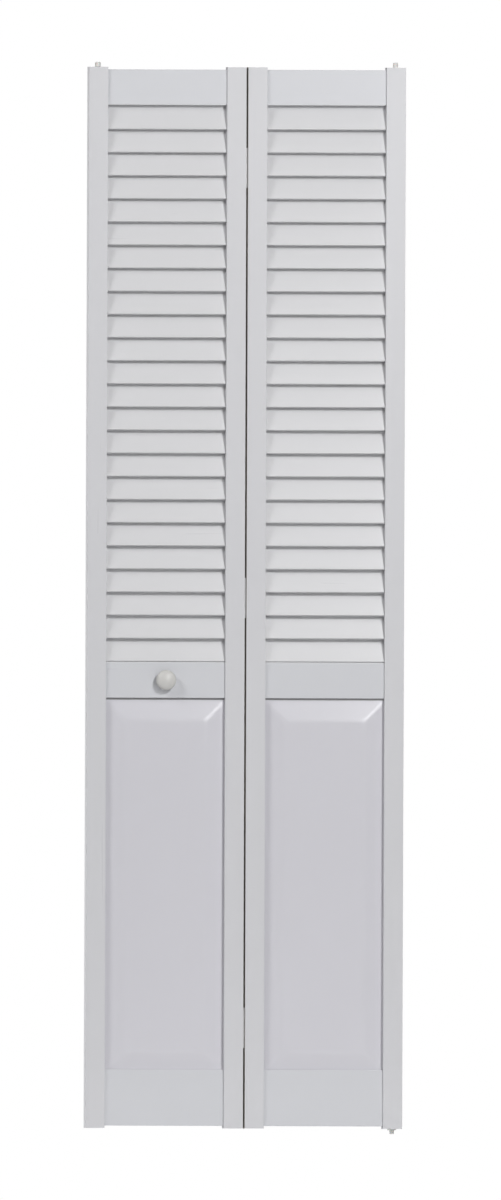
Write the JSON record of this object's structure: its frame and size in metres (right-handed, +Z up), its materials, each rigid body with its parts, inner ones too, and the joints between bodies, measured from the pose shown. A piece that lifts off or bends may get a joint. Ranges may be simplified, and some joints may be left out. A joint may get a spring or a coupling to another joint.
{
  "type": "bifold closet door",
  "caption": "Bifold closet door of hinged louvre-over-panel leaves with a round pull knob, pivots at one edge and a sprung roller guide at the other.",
  "frame": {"origin": "on the pivot axis, halfway through the door's thickness, at the underside of the bottom pivot's collar, where it rests on its bracket", "axes": "+X to the right as seen from the room, +Y into the closet, +Z up along the pivot axis"},
  "size_m": [0.6032, 0.0529, 2.0256],
  "materials": {
    "white_paint": "factory-sprayed white satin paint on pine",
    "knob_paint": "turned wood, white semi-gloss paint",
    "dowel_wood": "bare beech",
    "zinc_steel": "zinc-plated steel",
    "spring_steel": "drawn spring wire",
    "nylon": "natural white nylon"
  },
  "bodies": {
    "pivot_base": {"bottom_pivot": "nylon"},
    "pivot_leaf": {"pivot_outer_stile": "white_paint", "pivot_hinge_stile": "white_paint", "pivot_top_rail": "white_paint", "pivot_lock_rail": "white_paint", "pivot_bottom_rail": "white_paint", "pivot_raised_panel": "white_paint", "pivot_louvre_slats": "white_paint", "pivot_rail_dowels": "dowel_wood", "pivot_hinge_screws": "zinc_steel", "top_hinge_pivot_plate": "zinc_steel", "middle_hinge_pivot_plate": "zinc_steel", "bottom_hinge_pivot_plate": "zinc_steel", "top_hinge_pin": "zinc_steel", "middle_hinge_pin": "zinc_steel", "bottom_hinge_pin": "zinc_steel", "bottom_pivot_sleeve": "nylon", "top_pivot_sleeve": "nylon", "top_pivot_spring": "spring_steel"},
    "top_pivot": {"top_pivot": "nylon"},
    "lead_leaf": {"lead_outer_stile": "white_paint", "lead_hinge_stile": "white_paint", "lead_top_rail": "white_paint", "lead_lock_rail": "white_paint", "lead_bottom_rail": "white_paint", "lead_raised_panel": "white_paint", "lead_louvre_slats": "white_paint", "lead_rail_dowels": "dowel_wood", "lead_hinge_screws": "zinc_steel", "top_hinge_lead_plate": "zinc_steel", "middle_hinge_lead_plate": "zinc_steel", "bottom_hinge_lead_plate": "zinc_steel", "knob": "knob_paint", "knob_screw": "zinc_steel", "guide_sleeve": "nylon", "guide_spring": "spring_steel"},
    "guide": {"guide_pin": "zinc_steel"},
    "roller": {"guide_roller": "nylon"}
  },
  "joints": [
    {"name": "pivot_swing", "type": "hinge", "parent": "pivot_base", "child": "pivot_leaf", "pos_m": [0, 0, 0], "axis": [0, 0, 1], "range_deg": [0, 85]},
    {"name": "leaf_fold", "type": "hinge", "parent": "pivot_leaf", "child": "lead_leaf", "pos_m": [-0.2832, 0.0175, 0], "axis": [0, 0, 1], "range_deg": [-170, 0]},
    {"name": "top_pivot_press", "type": "slide", "parent": "pivot_leaf", "child": "top_pivot", "axis": [0, 0, 1], "range_m": [-0.0095, 0], "stiffness_N_per_m": 600, "springref_m": 0.012, "deforming": ["top_pivot_spring"]},
    {"name": "guide_press", "type": "slide", "parent": "lead_leaf", "child": "guide", "axis": [0, 0, 1], "range_m": [-0.0095, 0], "stiffness_N_per_m": 600, "springref_m": 0.012, "deforming": ["guide_spring"]},
    {"name": "roller_spin", "type": "hinge", "parent": "guide", "child": "roller", "pos_m": [-0.5664, 0, 2.0091], "axis": [0, 0, 1], "continuous": true}
  ],
  "couplings": [
    {"joint": "leaf_fold", "follows": "pivot_swing", "ratio": -2}
  ]
}
